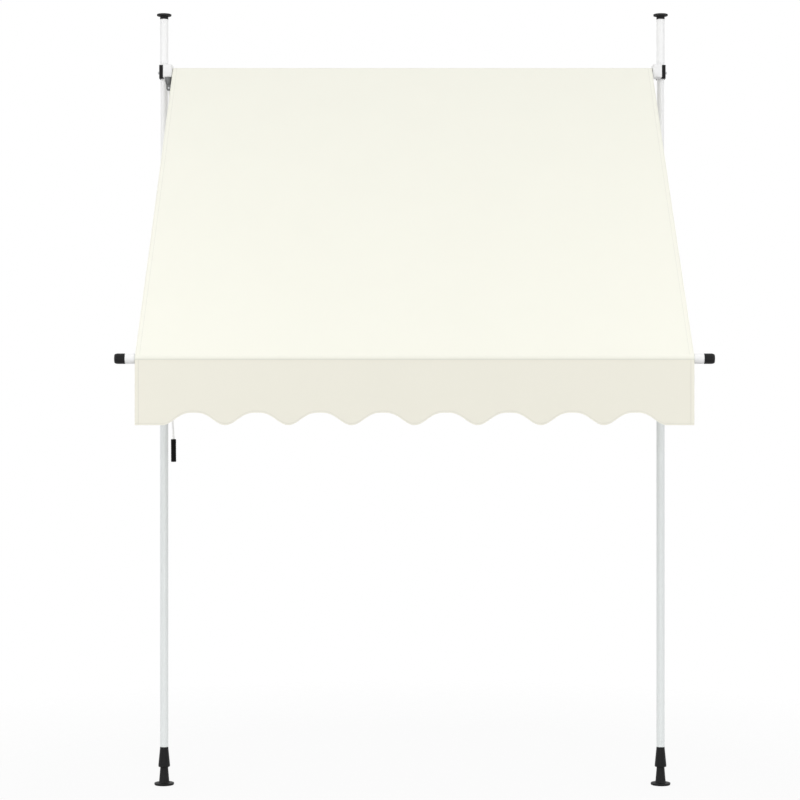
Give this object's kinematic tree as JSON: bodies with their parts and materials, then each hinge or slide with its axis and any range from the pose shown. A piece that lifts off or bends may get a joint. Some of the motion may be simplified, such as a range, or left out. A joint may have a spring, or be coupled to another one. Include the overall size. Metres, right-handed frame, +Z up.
{
  "type": "canvas awning",
  "caption": "Manual canvas awning wedged between floor and ceiling, with telescopic posts, a cranked fabric roller, swing arms and a scalloped valance.",
  "frame": {"origin": "on the floor, midway between the two posts' axes", "axes": "+Z up, -Y out from the wall towards the front bar, +X along the roller"},
  "size_m": [2.024, 1.2566, 3.02],
  "materials": {
    "white_coat": "white powder coat",
    "white_plastic": "fine moulded grain",
    "black_plastic": "fine moulded grain",
    "rubber": "matte",
    "zinc_steel": "zinc plated",
    "grey_casting": "die cast, grey",
    "nylon": "natural, unfilled",
    "canvas": "plain weave, cream"
  },
  "bodies": {
    "stand": {"left_lower_tube": "white_coat", "left_guide_plug": "black_plastic", "left_collar": "black_plastic", "left_collar_bolt": "zinc_steel", "right_lower_tube": "white_coat", "right_guide_plug": "black_plastic", "right_collar": "black_plastic", "right_collar_bolt": "zinc_steel"},
    "left_foot": {"left_foot_sole": "rubber", "left_foot_base": "black_plastic", "left_foot_spindle": "zinc_steel"},
    "right_foot": {"right_foot_sole": "rubber", "right_foot_base": "black_plastic", "right_foot_spindle": "zinc_steel"},
    "left_nut": {"left_jack_nut": "black_plastic"},
    "right_nut": {"right_jack_nut": "black_plastic"},
    "head_frame": {"left_upper_tube": "white_coat", "left_top_sleeve": "white_coat", "left_top_plug": "black_plastic", "left_top_pad": "rubber", "left_head_clamp": "black_plastic", "left_head_screw": "zinc_steel", "left_arm_clamp": "black_plastic", "left_arm_clamp_bolt": "zinc_steel", "left_pivot_bolt": "zinc_steel", "right_upper_tube": "white_coat", "right_top_sleeve": "white_coat", "right_top_plug": "black_plastic", "right_top_pad": "rubber", "right_head_clamp": "black_plastic", "right_head_screw": "zinc_steel", "right_arm_clamp": "black_plastic", "right_arm_clamp_bolt": "zinc_steel", "right_pivot_bolt": "zinc_steel", "gear_housing": "white_plastic", "gear_neck": "grey_casting", "gear_cover": "white_plastic", "bearing_housing": "white_plastic", "bearing_bush": "white_plastic", "canopy": "canvas"},
    "roller": {"roller_tube": "zinc_steel", "fabric_roll": "canvas", "roller_drive_plug": "nylon", "roller_idle_plug": "nylon", "worm_wheel": "nylon"},
    "worm": {"worm_shaft": "grey_casting", "knuckle_pin": "zinc_steel"},
    "crank": {"crank_rod": "white_coat"},
    "upper_handle": {"upper_grip": "black_plastic"},
    "lower_handle": {"lower_grip": "black_plastic"},
    "left_arm": {"left_arm_knuckle": "black_plastic", "left_arm_tube": "white_coat", "left_arm_ring": "white_plastic"},
    "right_arm": {"right_arm_knuckle": "black_plastic", "right_arm_tube": "white_coat", "right_arm_ring": "white_plastic"},
    "front": {"front_bar": "white_coat", "left_bar_cap": "black_plastic", "right_bar_cap": "black_plastic", "valance": "canvas"}
  },
  "joints": [
    {"name": "height_adjust", "type": "slide", "parent": "stand", "child": "head_frame", "axis": [0, 0, 1], "range_m": [-0.1, 0]},
    {"name": "left_nut_turn", "type": "hinge", "parent": "stand", "child": "left_nut", "pos_m": [-0.973, 0, 0.0712], "axis": [0, 0, 1], "range_deg": [0, 7200]},
    {"name": "right_nut_turn", "type": "hinge", "parent": "stand", "child": "right_nut", "pos_m": [0.973, 0, 0.0712], "axis": [0, 0, 1], "range_deg": [0, 7200]},
    {"name": "left_foot_slide", "type": "slide", "parent": "stand", "child": "left_foot", "axis": [0, 0, -1], "range_m": [0, 0.08]},
    {"name": "right_foot_slide", "type": "slide", "parent": "stand", "child": "right_foot", "axis": [0, 0, -1], "range_m": [0, 0.08]},
    {"name": "crank_turn", "type": "hinge", "parent": "head_frame", "child": "worm", "pos_m": [-0.9474, -0.06697, 2.78384], "axis": [0.0148, -0.0697, -0.9975], "range_deg": [0, 25200]},
    {"name": "roller_turn", "type": "hinge", "parent": "head_frame", "child": "roller", "pos_m": [0, -0.055, 2.783], "axis": [-1, 0, 0], "range_deg": [0, 5040]},
    {"name": "left_arm_swing", "type": "hinge", "parent": "head_frame", "child": "left_arm", "pos_m": [-0.9535, -0.078, 1.64573], "axis": [-1, 0, 0], "range_deg": [0, 86], "deforming": ["canopy"]},
    {"name": "right_arm_swing", "type": "hinge", "parent": "head_frame", "child": "right_arm", "pos_m": [0.9535, -0.078, 1.64573], "axis": [-1, 0, 0], "range_deg": [0, 86]},
    {"name": "bar_level", "type": "hinge", "parent": "left_arm", "child": "front", "pos_m": [-0.949, -1.2, 1.64573], "axis": [1, 0, 0], "range_deg": [0, 86]},
    {"name": "crank_swing", "type": "hinge", "parent": "worm", "child": "crank", "pos_m": [-0.94644, -0.0715, 2.719], "axis": [0, -0.9976, 0.0698], "range_deg": [0, 45]},
    {"name": "upper_grip_spin", "type": "hinge", "parent": "crank", "child": "upper_handle", "pos_m": [-0.92865, -0.15512, 1.52325], "axis": [-0.0148, 0.0697, 0.9975], "continuous": true},
    {"name": "lower_grip_spin", "type": "hinge", "parent": "crank", "child": "lower_handle", "pos_m": [-0.90364, -0.29297, 1.27431], "axis": [-0.0148, 0.0697, 0.9975], "continuous": true}
  ],
  "couplings": [
    {"joint": "left_nut_turn", "follows": "left_foot_slide", "rad_per_m": 1570.8},
    {"joint": "right_nut_turn", "follows": "right_foot_slide", "rad_per_m": 1570.8},
    {"joint": "crank_turn", "follows": "left_arm_swing", "ratio": 293.02},
    {"joint": "roller_turn", "follows": "left_arm_swing", "ratio": 58.605},
    {"joint": "right_arm_swing", "follows": "left_arm_swing", "ratio": 1},
    {"joint": "bar_level", "follows": "left_arm_swing", "ratio": 1}
  ]
}
